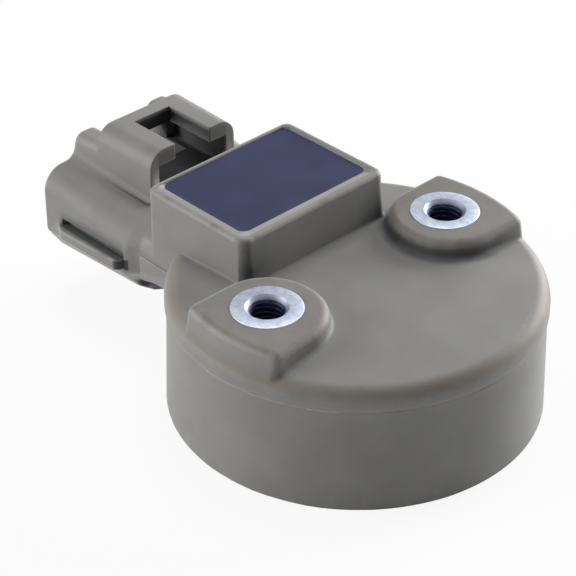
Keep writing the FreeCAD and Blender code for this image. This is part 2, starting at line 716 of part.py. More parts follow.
def inner_pieces():
    row_x = (TERMINAL_RISE_X + LEAD_X) / 2
    pieces = {"circuit_board": circuit_board(), "hall_chip": hall_chip()}
    pieces["flux_concentrator"] = flux_concentrator()
    pieces["capacitor_supply"] = on_board(row_x, -TERMINAL_PITCH, CHIP_LENGTH, CHIP_WIDTH, CAPACITOR_HEIGHT)
    pieces["capacitor_output"] = on_board(row_x, TERMINAL_PITCH, CHIP_LENGTH, CHIP_WIDTH, CAPACITOR_HEIGHT)
    pieces["pull_up_resistor"] = on_board(row_x, TERMINAL_PITCH / 2, CHIP_LENGTH, CHIP_WIDTH, RESISTOR_HEIGHT)
    pieces["suppressor_diode"] = on_board(row_x, -TERMINAL_PITCH / 2, DIODE_LENGTH, DIODE_WIDTH, DIODE_HEIGHT)
    for name, y in LEAD_PLACES.items():
        pieces["hall_lead_" + name] = hall_lead(y)
    return pieces


# The compound fills the box and the outer leg's pocket, about everything that stands in them.
def potting_compound(pieces, terminals):
    fill = box_cavity().fuse(hall_pocket())
    top = block((MOUTH_X, -RIM_RADIUS, BOX_TOP - POTTING_BELOW_RIM), (0, RIM_RADIUS, BOX_TOP + 2 * OVERRUN))
    return fill.cut([top] + list(pieces.values()) + list(terminals.values())).removeSplitter()


def magnet_adhesive(pieces):
    return magnet_pocket(LEG_FOOT_Z + ADHESIVE_INSET).cut([pieces["magnet"], pieces["magnet_backing_plate"]])


def housing(terminals, bushes):
    outside = stand_on(cup_outside(), [boss(-1), boss(1)], BOSS_FOOT_FILLET)
    outside = stand_on(outside, [box_outside()], BOX_FOOT_FILLET)
    outside = outside.fuse([neck(), shroud_outside(), rails()]).removeSplitter()
    hollow = outside.cut([cup_cavity(), rail_grooves(), neck_pits()])
    solid = hollow.fuse([column(-1), column(1), hall_leg(), magnet_leg()])
    openings = [box_cavity(), hall_pocket(), magnet_pocket(LEG_FOOT_Z - OVERRUN)]
    openings += [socket_cavity(), latch_space(), bush_core(-1), bush_core(1)]
    openings += list(bushes.values()) + list(terminals.values())
    return solid.cut(openings).removeSplitter()


def build():
    terminals = {name: terminal(y) for name, y in TERMINAL_PLACES.items()}
    bushes = {"bush_left": bush(-1), "bush_right": bush(1)}
    pieces = inner_pieces()
    nodes = {"housing": housing(terminals, bushes)}
    nodes.update(bushes)
    for name, shape in terminals.items():
        nodes["terminal_" + name] = shape
    nodes["potting_compound"] = potting_compound(pieces, terminals)
    magnets = {"magnet": magnet(), "magnet_backing_plate": magnet_plate()}
    nodes.update(pieces)
    nodes.update(magnets)
    nodes["magnet_adhesive"] = magnet_adhesive(magnets)
    return nodes


os.makedirs("parts", exist_ok=True)
for node_name, node_shape in build().items():
    if node_shape.ShapeType == "Compound" and len(node_shape.Solids) == 1:
        node_shape = node_shape.Solids[0]
    node_shape.exportStep("parts/" + node_name + ".step")
    print(node_name, node_shape.isValid(), len(node_shape.Solids), round(node_shape.Volume, 2))
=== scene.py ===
import math

import bmesh
import bpy
import numpy as np
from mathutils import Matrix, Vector


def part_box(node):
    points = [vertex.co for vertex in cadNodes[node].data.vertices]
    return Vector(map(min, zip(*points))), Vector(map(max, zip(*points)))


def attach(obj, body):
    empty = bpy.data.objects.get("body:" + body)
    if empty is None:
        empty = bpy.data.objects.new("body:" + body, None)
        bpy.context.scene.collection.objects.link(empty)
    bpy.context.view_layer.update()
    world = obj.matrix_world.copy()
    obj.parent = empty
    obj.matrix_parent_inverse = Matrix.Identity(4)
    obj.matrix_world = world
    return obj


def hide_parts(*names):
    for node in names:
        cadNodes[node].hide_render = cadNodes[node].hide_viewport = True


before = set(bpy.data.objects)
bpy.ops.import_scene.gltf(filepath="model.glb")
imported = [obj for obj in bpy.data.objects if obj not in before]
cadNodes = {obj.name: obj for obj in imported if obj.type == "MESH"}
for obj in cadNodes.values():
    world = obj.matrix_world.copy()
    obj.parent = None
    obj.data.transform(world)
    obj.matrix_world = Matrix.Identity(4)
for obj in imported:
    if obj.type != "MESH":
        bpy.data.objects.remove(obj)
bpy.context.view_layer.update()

mm = 0.001
sceneNow = bpy.context.scene
print("frame loaded:", len(cadNodes), "nodes")


# Colours are written as 0 to 255 screen values and turned to linear light by the sRGB curve.
def screenColor(red, green, blue):
    channels = np.array([red, green, blue]) / 255
    linear = np.where(channels <= 0.04045, channels / 12.92, ((channels + 0.055) / 1.055) ** 2.4)
    return tuple(linear.tolist()) + (1.0,)


white = (1, 1, 1, 1)
black = (0, 0, 0, 1)


# Camera: the photograph's view, found from the cap's ellipse and the long edges
camera = {
    "azimuth": 46.09,       # degrees round from the -Y side
    "elevation": 34.23,
    "distance": 300 * mm,
    "target": (-12.73 * mm, -1.13 * mm, 12 * mm),
    "focalPixels": 2070.5,
    "framePixels": 576,
    "sensorWidth": 36,
    "clipStart": 0.01,
    "clipEnd": 20,
}


def makeCamera(spec):
    azimuth, elevation = math.radians(spec["azimuth"]), math.radians(spec["elevation"])
    back = Vector((
        math.sin(azimuth) * math.cos(elevation),
        -math.cos(azimuth) * math.cos(elevation),
        math.sin(elevation),
    ))
    data = bpy.data.cameras.new("photoCamera")
    data.lens = spec["focalPixels"] / spec["framePixels"] * spec["sensorWidth"]
    data.sensor_width = spec["sensorWidth"]
    data.clip_start = spec["clipStart"]
    data.clip_end = spec["clipEnd"]
    holder = bpy.data.objects.new("photoCamera", data)
    holder.location = Vector(spec["target"]) + back * spec["distance"]
    holder.rotation_euler = back.to_track_quat("Z", "Y").to_euler()
    sceneNow.collection.objects.link(holder)
    sceneNow.camera = holder


makeCamera(camera)
print("camera placed")


# Node helpers

class NodeBuilder:
    def __init__(self, tree):
        self.tree = tree

    def add(self, kind, **values):
        node = self.tree.nodes.new(kind)
        inputs = values.pop("inputs", {})
        for key, value in values.items():
            setattr(node, key, value)
        for key, value in inputs.items():
            if isinstance(value, bpy.types.NodeSocket):
                self.link(value, node.inputs[key])
            else:
                node.inputs[key].default_value = value
        return node

    def link(self, source, target):
        self.tree.links.new(source, target)

    def math(self, operation, first, second=0.0):
        return self.add("ShaderNodeMath", operation=operation, inputs={0: first, 1: second}).outputs[0]

    def measure(self, operation, *vectors):
        node = self.add("ShaderNodeVectorMath", operation=operation, inputs=dict(enumerate(vectors)))
        return node.outputs["Value"]

    def mixColor(self, factor, first, second):
        inputs = {0: factor, 6: first, 7: second}
        return self.add("ShaderNodeMix", data_type="RGBA", inputs=inputs).outputs[2]

    def remap(self, value, fromLow, fromHigh, toLow=0.0, toHigh=1.0):
        inputs = {0: value, 1: fromLow, 2: fromHigh, 3: toLow, 4: toHigh}
        return self.add("ShaderNodeMapRange", inputs=inputs).outputs[0]

    def noise(self, vector, size, detail=3.0, roughness=0.5):
        given = isinstance(size, bpy.types.NodeSocket)
        scale = self.math("DIVIDE", 1.0, size) if given else 1 / size
        inputs = {"Vector": vector, "Scale": scale, "Detail": detail, "Roughness": roughness}
        return self.add("ShaderNodeTexNoise", inputs=inputs).outputs[0]

    def place(self):
        return self.add("ShaderNodeTexCoord").outputs["Object"]

    def attribute(self, name):
        return self.add("ShaderNodeAttribute", attribute_name=name).outputs["Fac"]

    def bump(self, look, height, **normal):
        inputs = {"Strength": look["bump"], "Distance": look["bumpHeight"], "Height": height, **normal}
        return self.add("ShaderNodeBump", inputs=inputs).outputs[0]


def newGroup(name, inputs, outputs):
    tree = bpy.data.node_groups.new(name, "ShaderNodeTree")
    for label, value in inputs.items():
        socket = tree.interface.new_socket(name=label, in_out="INPUT", socket_type="NodeSocketFloat")
        socket.default_value = value
    for label, kind in outputs.items():
        tree.interface.new_socket(name=label, in_out="OUTPUT", socket_type=kind)
    build = NodeBuilder(tree)
    return build, build.add("NodeGroupInput").outputs, build.add("NodeGroupOutput").inputs


# Edge wear and painted highlight: a normal rounded at the edges differs from the true one there, and that
# difference, broken up by noise, is the mask. It pales the edges, partly as wear and partly as a painted
# highlight.
edgeWearAndHighlight = {
    "radius": 0.25 * mm,
    "breakupSize": 2 * mm,
    "samples": 6,
    "bentRamp": (0.995, 0.8),    # cosine between the two normals where wear starts and where it is full
    "cloudDetail": 4.0,
    "cloudRamp": (0.38, 0.62),
}


def makeEdgeGroup(spec):
    build, given, result = newGroup(
        "edgeSoftening",
        {"Radius": spec["radius"], "Breakup Size": spec["breakupSize"]},
        {"Mask": "NodeSocketFloat", "Normal": "NodeSocketVector"},
    )
    inputs = {"Radius": given["Radius"]}
    rounded = build.add("ShaderNodeBevel", samples=spec["samples"], inputs=inputs).outputs[0]
    true = build.add("ShaderNodeNewGeometry").outputs["Normal"]
    edge = build.remap(build.measure("DOT_PRODUCT", rounded, true), *spec["bentRamp"])
    cloud = build.noise(build.place(), given["Breakup Size"], spec["cloudDetail"])
    build.link(build.math("MULTIPLY", edge, build.remap(cloud, *spec["cloudRamp"])), result["Mask"])
    build.link(rounded, result["Normal"])
    return build.tree


# Moulded grain: fine noise on top of a slow swell is the height, fine noise with a coarser mottle is the
# tone that lightens and darkens, and the swell is also put out by itself.
mouldedGrain = {
    "grainSize": 0.12 * mm,
    "swellSize": 7 * mm,
    "grainsPerMottle": 9.0,
    "fineNoise": (3.0, 0.6),     # detail and roughness
    "swellNoise": (2.0, 0.4),
    "mottleNoise": (4.0, 0.65),
    "fineHeight": 0.3,
    "fineTone": 0.35,
    "mottleTone": 0.65,
}


def makeGrainGroup(spec):
    build, given, result = newGroup(
        "mouldedGrain",
        {"Grain Size": spec["grainSize"], "Swell Size": spec["swellSize"]},
        dict.fromkeys(("Height", "Tone", "Cloud"), "NodeSocketFloat"),
    )
    place = build.place()
    fine = build.noise(place, given["Grain Size"], *spec["fineNoise"])
    swell = build.noise(place, given["Swell Size"], *spec["swellNoise"])
    mottleSize = build.math("MULTIPLY", given["Grain Size"], spec["grainsPerMottle"])
    mottle = build.noise(place, mottleSize, *spec["mottleNoise"])
    fineTone = build.math("MULTIPLY", fine, spec["fineTone"])
    mottleTone = build.math("MULTIPLY", mottle, spec["mottleTone"])
    fineHeight = build.math("MULTIPLY", fine, spec["fineHeight"])
    build.link(build.math("ADD", fineHeight, swell), result["Height"])
    build.link(build.math("ADD", fineTone, mottleTone), result["Tone"])
    build.link(swell, result["Cloud"])
    return build.tree


edgeGroup = makeEdgeGroup(edgeWearAndHighlight)
grainGroup = makeGrainGroup(mouldedGrain)


def newMaterial(name):
    material = bpy.data.materials.new(name)
    material.use_nodes = True
    material.node_tree.nodes.clear()
    build = NodeBuilder(material.node_tree)
    shader = build.add("ShaderNodeBsdfPrincipled")
    surface = build.add("ShaderNodeOutputMaterial")
    build.link(shader.outputs[0], surface.inputs["Surface"])
    return material, build, shader


# Tints round a ring, in millimetres: 1 on the circle and 0 further off, and faded out along Y. The rim is
# browned in a band round its rounded edge, and painted shade, dark blue-grey, lies at the foot of the right
# boss, on the side of the disc.
rings = {
    "rim": {
        "centre": (0.0, 0.0), "radius": 26.3, "height": 19.3, "full": 0.5, "none": 1.4, "fade": (40.0, 50.0),
        "color": screenColor(126, 110, 96), "amount": 0.45, "thinnest": 0.36,
    },
    # painted shade round the foot of the right boss
    "bossFootShade": {
        "centre": (0.7, 17.5), "radius": 8.75, "height": 20.8, "full": 0.35, "none": 1.3,
        "fade": (17.0, 21.5), "color": screenColor(34, 38, 50), "amount": 0.85, "thinnest": 0.65,
    },
}


def ringMask(build, place, spec):
    axes = build.add("ShaderNodeSeparateXYZ", inputs={0: place}).outputs
    alongX = build.math("SUBTRACT", axes["X"], spec["centre"][0] * mm)
    alongY = build.math("SUBTRACT", axes["Y"], spec["centre"][1] * mm)
    across = build.add("ShaderNodeCombineXYZ", inputs={0: alongX, 1: alongY}).outputs[0]
    outward = build.math("SUBTRACT", build.measure("LENGTH", across), spec["radius"] * mm)
    upward = build.math("SUBTRACT", axes["Z"], spec["height"] * mm)
    offset = build.add("ShaderNodeCombineXYZ", inputs={0: outward, 1: upward}).outputs[0]
    near = build.remap(build.measure("LENGTH", offset), spec["full"] * mm, spec["none"] * mm, 1.0, 0.0)
    faded = build.remap(axes["Y"], spec["fade"][0] * mm, spec["fade"][1] * mm, 1.0, 0.0)
    return build.math("MULTIPLY", near, faded)


# Painted shade, dark to near black, in the recesses: the latch space, the channel's front, the throat, the
# socket, the side grooves, the rail ends, the neck pits and the box's corners by the bosses; and brown on
# the boss tops,
# where washers sat: a box on both sides of the middle plane, in millimetres, with one ramp inwards from each
# of its sides. The mask is the product of the six ramps.
paintedShadeAndStain = {
    "latchSpace": {
        "low": (-45.2, -9.0, 18.0), "high": (-34.0, 6.75, 27.8),
        "rampLow": (0.15, 0.1, 0.2), "rampHigh": (0.6, 0.15, 0.6),
        "color": screenColor(14, 15, 22), "amount": 0.98, "thinnest": 0.96,
    },
    "channelFront": {
        "low": (-45.75, -9.0, 20.5), "high": (-45.0, 6.75, 25.3),
        "rampLow": (0.02, 0.1, 0.1), "rampHigh": (0.1, 0.15, 0.1),
        "color": screenColor(14, 15, 22), "amount": 0.98, "thinnest": 0.96,
    },
    "throat": {
        "low": (-49.6, -9.0, 18.0), "high": (-45.0, 4.85, 25.3),
        "rampLow": (3.2, 0.1, 0.2), "rampHigh": (0.1, 0.1, 1.2),
        "color": screenColor(18, 19, 26), "amount": 0.97, "thinnest": 0.94,
    },
    "boxCorners": {
        "low": (-9.4, 8.0, 20.4), "high": (-7.0, 14.1, 27.0),
        "rampLow": (0.1, 5.0, 0.1), "rampHigh": (0.1, 0.1, 4.6),
        "color": screenColor(34, 39, 44), "amount": 0.85, "thinnest": 0.7,
    },
    "bossTops": {
        "low": (-7.4, 9.0, 22.5), "high": (10.0, 27.0, 23.4),
        "rampLow": (0.8, 0.5, 0.3), "rampHigh": (0.5, 0.5, 0.1),
        "color": screenColor(108, 96, 87), "amount": 0.45, "thinnest": 0.2,
    },
    "socketDepth": {
        "low": (-50.2, -20.0, 8.5), "high": (-34.0, 10.0, 18.6),
        "rampLow": (7.0, 0.1, 0.1), "rampHigh": (0.1, 3.0, 0.5),
        "color": screenColor(24, 25, 30), "amount": 0.95, "thinnest": 0.92,
    },
    "sideGrooves": {
        "low": (-47.2, 13.0, 13.6), "high": (-32.6, 16.1, 16.4),
        "rampLow": (0.8, 0.1, 0.05), "rampHigh": (1.0, 0.2, 2.3),
        "color": screenColor(48, 53, 55), "amount": 0.9, "thinnest": 0.72,
    },
    "railEnds": {
        "low": (-34.1, 14.7, 11.9), "high": (-32.2, 17.2, 13.9),
        "rampLow": (0.6, 0.1, 0.1), "rampHigh": (0.1, 0.1, 0.35),
        "color": screenColor(24, 22, 28), "amount": 0.97, "thinnest": 0.92,
    },
    "neckPits": {
        "low": (-32.6, 9.0, 7.0), "high": (-25.2, 13.9, 10.4),
        "rampLow": (0.5, 0.5, 0.1), "rampHigh": (2.5, 0.1, 1.2),
        "color": screenColor(40, 32, 46), "amount": 0.95, "thinnest": 0.85,
    },
}


# box mask for the painted shade of the recesses and the brown of the boss tops
def boxShadeAndStainMask(build, place, spec):
    axes = build.add("ShaderNodeSeparateXYZ", inputs={0: place}).outputs
    mask = 1.0
    for axis, value in enumerate((axes["X"], build.math("ABSOLUTE", axes["Y"]), axes["Z"])):
        low, high = spec["low"][axis] * mm, spec["high"][axis] * mm
        afterLow = build.remap(value, low, low + spec["rampLow"][axis] * mm)
        beforeHigh = build.remap(value, high, high - spec["rampHigh"][axis] * mm)
        mask = build.math("MULTIPLY", build.math("MULTIPLY", afterLow, beforeHigh), mask)
    return mask


# Between which values of a noise, or of edgeCurve, each effect of the moulded plastic sets in. Where a ramp
# has four numbers, the last two are what it gives there.
mouldedRamps = {
    "cloud": (0.35, 0.65),
    "tone": (0.3, 0.7),
    "stain": (0.6, 0.72),
    "creased": (0.0, -1.0),
    "rubbedAndLit": (0.05, 1.0),
    "rubbedAndLitPatches": (0.35, 0.6, 0.6, 1.0),
    "brownWear": (0.52, 0.64),
    "tintPatches": (0.3, 0.6),
}


# Moulded plastic: two greys in slow clouds, edges worn and with a painted highlight, between a pale and a
# brown, small stains, a fine grain, and a thin dusty sheen. Edges that are round in the mesh wear and take
# the painted highlight by its edgeCurve attribute, creases take painted shade by it, and the tints, most of
# them painted shade, lie on top, thinner in patches.
def makeMoulded(name, look, tintsAndShade=()):
    ramps = mouldedRamps
    material, build, shader = newMaterial(name)
    grain = build.add("ShaderNodeGroup", node_tree=grainGroup, inputs={"Grain Size": look["grain"]}).outputs
    edge = build.add("ShaderNodeGroup", node_tree=edgeGroup, inputs={"Radius": look["edgeRadius"]}).outputs
    place = build.place()
    base = build.mixColor(build.remap(grain["Cloud"], *ramps["cloud"]), look["dark"], look["light"])
    tone = build.remap(grain["Tone"], *ramps["tone"], -0.5, 0.5)
    shade = build.math("MULTIPLY", tone, look["mottle"])
    brighter = build.mixColor(build.math("MAXIMUM", shade, 0.0), base, white)
    deeper = build.math("MAXIMUM", build.math("MULTIPLY", shade, -1.0), 0.0)
    mottled = build.mixColor(deeper, brighter, black)
    stain = build.noise(place, *look["stainNoise"])
    stainMask = build.math("MULTIPLY", build.remap(stain, *ramps["stain"]), look["stainAmount"])
    stained = build.mixColor(stainMask, mottled, look["stain"])
    curve = build.attribute("edgeCurve")
    creased = build.remap(curve, *ramps["creased"])
    # round and sharp edges pale, partly as wear and partly as a painted highlight
    patches = build.remap(grain["Tone"], *ramps["rubbedAndLitPatches"])
    rubbedAndLit = build.math("MULTIPLY", build.remap(curve, *ramps["rubbedAndLit"]), patches)
    sharp = build.math("MULTIPLY", edge["Mask"], build.math("SUBTRACT", 1.0, creased))
    wearAndHighlight = build.math("MULTIPLY", build.math("MAXIMUM", sharp, rubbedAndLit), look["wearAndHighlight"])
    wornHighlightColor = build.mixColor(build.remap(stain, *ramps["brownWear"]), look["wornHighlight"], look["stain"])
    color = build.mixColor(wearAndHighlight, stained, wornHighlightColor)
    # painted shade in the concave creases, by edgeCurve
    color = build.mixColor(build.math("MULTIPLY", creased, look["creaseShadeAmount"]), color, look["creaseShade"])
    # the tints: painted shade in the recesses and at the boss foot, a brown band on the rim and brown on the
    # boss tops
    for maskOf, spec in tintsAndShade:
        patchy = build.remap(stain, *ramps["tintPatches"], spec["thinnest"], spec["amount"])
        mask = build.math("MULTIPLY", maskOf(build, place, spec), patchy)
        color = build.mixColor(mask, color, spec["color"])
    rough = build.remap(grain["Tone"], *ramps["tone"], look["roughLow"], look["roughHigh"])
    build.link(color, shader.inputs["Base Color"])
    build.link(rough, shader.inputs["Roughness"])
    build.link(build.bump(look, grain["Height"], Normal=edge["Normal"]), shader.inputs["Normal"])
    shader.inputs["Sheen Weight"].default_value = look["sheen"]
    shader.inputs["Sheen Roughness"].default_value = look["sheenRough"]
    shader.inputs["Specular IOR Level"].default_value = look["specular"]
    return material


housingLook = {
    "dark": screenColor(128, 127, 125),
    "light": screenColor(135, 134, 131),
    # pale edges: partly wear and partly a painted highlight
    "wornHighlight": screenColor(168, 165, 159),
    "stain": screenColor(128, 112, 98),
    "stainAmount": 0.12,
    "stainNoise": (3.1 * mm, 5.0, 0.6),    # size, detail and roughness
    # painted shade in the concave creases
    "creaseShade": screenColor(70, 72, 76),
    "creaseShadeAmount": 0.3,
    "wearAndHighlight": 0.55,
    "mottle": 0.03,
    "grain": 0.14 * mm,
    "edgeRadius": 0.35 * mm,
    "roughLow": 0.5,
    "roughHigh": 0.6,
    "sheen": 0.25,
    "sheenRough": 0.5,
    "specular": 0.5,
    "bump": 0.25,
    "bumpHeight": 0.04 * mm,
}
# ring and box tints, mostly painted shade in recesses and at the right boss's foot
ringTintsAndShade = [(ringMask, spec) for spec in rings.values()]
shadeAndStainTints = [(boxShadeAndStainMask, spec) for spec in paintedShadeAndStain.values()]
housingMaterial = makeMoulded("mouldedGrey", housingLook, ringTintsAndShade + shadeAndStainTints)
flashMaterial = makeMoulded("flashGrey", {
    **housingLook, "dark": screenColor(172, 168, 160), "light": screenColor(200, 196, 188),
    "grain": 0.1 * mm, "edgeRadius": 0.05 * mm,
})
chipMaterial = makeMoulded("mouldedBlack", {
    **housingLook, "dark": screenColor(30, 30, 32), "light": screenColor(40, 40, 42),
    "wornHighlight": screenColor(70, 70, 72), "stain": screenColor(60, 55, 50),
    "grain": 0.06 * mm, "edgeRadius": 0.06 * mm,
})
capacitorMaterial = makeMoulded("firedCeramic", {
    **housingLook, "dark": screenColor(150, 118, 84), "light": screenColor(170, 136, 98),
    "wornHighlight": screenColor(196, 190, 180), "stain": screenColor(120, 92, 66),
    "grain": 0.05 * mm, "edgeRadius": 0.06 * mm,
})


# Cast resin: dark violet-blue, a little paler in slow clouds, with dust and a smooth swell
def makeResin(name, look):
    material, build, shader = newMaterial(name)
    place = build.place()
    cloud = build.noise(place, look["cloudSize"])
    dust = build.noise(place, *look["dustNoise"])
    speck = build.math("MULTIPLY", build.remap(dust, *look["dustRamp"]), look["dust"])
    base = build.mixColor(build.remap(cloud, *look["cloudRamp"]), look["dark"], look["light"])
    rough = build.remap(cloud, *look["cloudRamp"], look["roughLow"], look["roughHigh"])
    height = build.math("ADD", build.math("MULTIPLY", dust, look["dustHeight"]), cloud)
    build.link(build.mixColor(speck, base, look["dustColor"]), shader.inputs["Base Color"])
    build.link(rough, shader.inputs["Roughness"])
    build.link(build.bump(look, height), shader.inputs["Normal"])
    shader.inputs["Specular IOR Level"].default_value = look["specular"]
    return material


resinLook = {
    "dark": screenColor(43, 49, 82),
    "light": screenColor(51, 57, 92),
    "cloudSize": 6 * mm,
    "cloudRamp": (0.3, 0.7),
    "dustColor": screenColor(120, 122, 140),
    "dustNoise": (0.25 * mm, 2.0, 0.7),    # size, detail and roughness
    "dustRamp": (0.66, 0.76),
    "dustHeight": 0.1,
    "dust": 0.25,
    "roughLow": 0.5,
    "roughHigh": 0.58,
    "specular": 0.3,
    "bump": 0.12,
    "bumpHeight": 0.1 * mm,
}
pottingMaterial = makeResin("castResin", resinLook)
adhesiveMaterial = makeResin("blackEpoxy", {
    **resinLook, "dark": screenColor(30, 30, 33), "light": screenColor(42, 42, 45),
    "dustColor": screenColor(90, 90, 92),
})
boardMaterial = makeResin("solderMask", {
    **resinLook, "dark": screenColor(16, 70, 42), "light": screenColor(22, 84, 50),
    "dustColor": screenColor(90, 120, 96),
})


# Metal: fine lines drawn along one direction, with cloudy tarnish and dark specks. A turned piece has its
# lines round its axis instead, by its turnedRadius attribute, and it goes from its bright colour to a dark
# blue painted shade in and round the bore by its boreShade attribute.
def makeMetal(name, look, turned=False):
    material, build, shader = newMaterial(name)
    place = build.place()
    cloud = build.noise(place, look["cloudSize"], *look["cloudNoise"])
    specks = build.noise(place, look["speckSize"], *look["speckNoise"])
    if turned:
        way = build.math("DIVIDE", build.attribute("turnedRadius"), look["lineSize"])
        inputs = {"W": way, "Scale": 1.0}
        lines = build.add("ShaderNodeTexNoise", noise_dimensions="1D", inputs=inputs).outputs[0]
    else:
        inputs = {"Vector": place, "Scale": look["stretch"]}
        stretched = build.add("ShaderNodeMapping", inputs=inputs).outputs[0]
        lines = build.noise(stretched, look["lineSize"], *look["lineNoise"])
    base = build.mixColor(build.remap(cloud, *look["cloudRamp"]), look["bright"], look["dull"])
    speckle = build.math("MULTIPLY", build.remap(specks, *look["speckRamp"]), look["specks"])
    base = build.mixColor(speckle, base, look["speckColor"])
    if turned:
        base = build.mixColor(build.remap(lines, *look["dullRings"]), base, look["dull"])
        # painted shade in the bore and round its chamfer
        base = build.mixColor(build.attribute("boreShade"), base, look["boreShadeColor"])
    rough = build.remap(lines, *look["roughRamp"], look["roughLow"], look["roughHigh"])
    height = build.math("ADD", lines, build.math("MULTIPLY", cloud, look["cloudHeight"]))
    build.link(base, shader.inputs["Base Color"])
    build.link(rough, shader.inputs["Roughness"])
    build.link(build.bump(look, height), shader.inputs["Normal"])
    shader.inputs["Metallic"].default_value = 1.0
    return material


tinLook = {
    "bright": screenColor(214, 208, 190),
    "dull": screenColor(176, 168, 146),
    "stretch": (0.08, 1.0, 1.0),
    "lineSize": 0.05 * mm,
    "lineNoise": (3.0, 0.6),     # detail and roughness
    "cloudSize": 1.4 * mm,
    "cloudNoise": (5.0, 0.6),
    "cloudRamp": (0.42, 0.68),
    "cloudHeight": 0.5,
    "speckSize": 0.12 * mm,
    "speckNoise": (3.0, 0.7),
    "speckRamp": (0.58, 0.68),
    "speckColor": screenColor(96, 92, 84),
    "specks": 0.3,
    "roughRamp": (0.3, 0.7),
    "roughLow": 0.22,
    "roughHigh": 0.4,
    "bump": 0.4,
    "bumpHeight": 0.02 * mm,
}
tinMaterial = makeMetal("tinnedBrass", tinLook)
ironMaterial = makeMetal("coldRolled", {
    **tinLook, "bright": screenColor(170, 170, 172), "dull": screenColor(120, 118, 116),
})
nickelMaterial = makeMetal("nickelPlate", {
    **tinLook, "bright": screenColor(206, 204, 198), "dull": screenColor(176, 172, 162),
})
bushMaterial = makeMetal("bushPlate", {
    **tinLook, "bright": screenColor(216, 222, 235), "dull": screenColor(184, 194, 216),
    # dark blue painted shade for the bore
    "boreShadeColor": screenColor(20, 24, 54), "speckColor": screenColor(120, 130, 160), "specks": 0.45,
    "lineSize": 0.11 * mm, "cloudSize": 1.1 * mm, "roughLow": 0.46, "roughHigh": 0.6,
    "dullRings": (0.5, 0.7, 0.0, 0.3),
}, turned=True)
print("materials made")


tiny = 1e-18    # keeps divisors above zero


# Rows and columns of points become quads, and a wrapped direction joins its end to its start.
def gridMesh(name, points, wrapRows=False, wrapColumns=False):
    rows, columns = points.shape[:2]
    index = np.arange(rows * columns).reshape(rows, columns)
    if wrapRows:
        index = np.vstack([index, index[:1]])
    if wrapColumns:
        index = np.hstack([index, index[:, :1]])
    corners = [index[:-1, :-1], index[1:, :-1], index[1:, 1:], index[:-1, 1:]]
    quads = np.stack(corners, axis=-1).reshape(-1, 4)
    mesh = bpy.data.meshes.new(name)
    mesh.from_pydata(points.reshape(-1, 3).tolist(), [], quads.tolist())
    return mesh


def meshPoints(mesh):
    points = np.empty(len(mesh.vertices) * 3)
    mesh.vertices.foreach_get("co", points)
    return points.reshape(-1, 3)


def setAttribute(mesh, name, values):
    mesh.attributes.new(name, "FLOAT", "POINT").data.foreach_set("value", values)


# Joins the points that lie within a distance, closes open ends and turns faces outwards, each if asked for
def mendMesh(mesh, joinWithin=None, closeEnds=False, turnOut=True):
    work = bmesh.new()
    work.from_mesh(mesh)
    if joinWithin:
        bmesh.ops.remove_doubles(work, verts=work.verts, dist=joinWithin)
    if closeEnds:
        bmesh.ops.holes_fill(work, edges=[edge for edge in work.edges if edge.is_boundary])
    if turnOut:
        bmesh.ops.recalc_face_normals(work, faces=work.faces)
    work.to_mesh(mesh)
    work.free()


def finishPiece(name, mesh, material, slot, *replaced, sharpAngle):
    mesh.materials.clear()
    mesh.materials.append(material)
    mesh.shade_smooth()
    mesh.set_sharp_from_angle(angle=math.radians(sharpAngle))
    piece = bpy.data.objects.new(name, mesh)
    sceneNow.collection.objects.link(piece)
    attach(piece, "root")
    if replaced:
        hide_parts(*replaced)
    return piece


# Housing: the CAD mesh with its corners joined, so that its curves shade smoothly
housing = {
    "joinWithin": 0.001 * mm,
    "sharpAngle": 24,
    # a round edge of half this radius counts as fully worn and lit by the painted highlight, a crease as
    # fully in painted shade
    "fullCurveRadius": 1.2 * mm,    # a round edge of half this radius counts as fully rubbed
    "sharpestBend": 50,          # degrees
    "largestFace": 3 * mm ** 2,  # a vertex of a larger one counts as flat
}


# How round each vertex is: the sum over its edges of signed angle times length, by four vertex areas,
# times the given radius. It is positive where the surface is convex and negative in a crease. Sharp
# edges don't count, and a vertex of a large face has none, so that nothing smears over the flats.
def vertexCurve(mesh, spec):
    points = meshPoints(mesh)
    corners = np.empty(len(mesh.polygons) * 3, dtype=np.int64)
    mesh.polygons.foreach_get("vertices", corners)
    corners = corners.reshape(-1, 3)
    a, b, c = (points[corners[:, side]] for side in range(3))
    normals = np.cross(b - a, c - a)
    areas = np.linalg.norm(normals, axis=1) / 2
    normals = normals / np.maximum(2 * areas, tiny)[:, None]
    starts = corners.ravel()
    ends = np.roll(corners, -1, axis=1).ravel()
    opposite = np.roll(corners, -2, axis=1).ravel()
    faces = np.repeat(np.arange(len(corners)), 3)
    key = np.minimum(starts, ends) * len(points) + np.maximum(starts, ends)
    order = np.argsort(key, kind="stable")
    paired = np.flatnonzero(key[order][:-1] == key[order][1:])
    first, second = order[paired], order[paired + 1]
    cosine = np.clip(np.sum(normals[faces[first]] * normals[faces[second]], axis=1), -1, 1)
    reach = points[opposite[second]] - points[starts[first]]
    sign = np.where(np.sum(reach * normals[faces[first]], axis=1) < 0, 1.0, -1.0)
    length = np.linalg.norm(points[ends[first]] - points[starts[first]], axis=1)
    counted = cosine > math.cos(math.radians(spec["sharpestBend"]))
    bend = sign * np.where(counted, np.arccos(cosine), 0) * length
    total = np.bincount(starts[first], bend, len(points)) + np.bincount(ends[first], bend, len(points))
    area = np.bincount(starts, np.repeat(areas / 3, 3), len(points))
    largest = np.zeros(len(points))
    np.maximum.at(largest, starts, np.repeat(areas, 3))
    curve = np.clip(total / np.maximum(4 * area, tiny) * spec["fullCurveRadius"], -1, 1)
    return np.where(largest < spec["largestFace"], curve, 0)


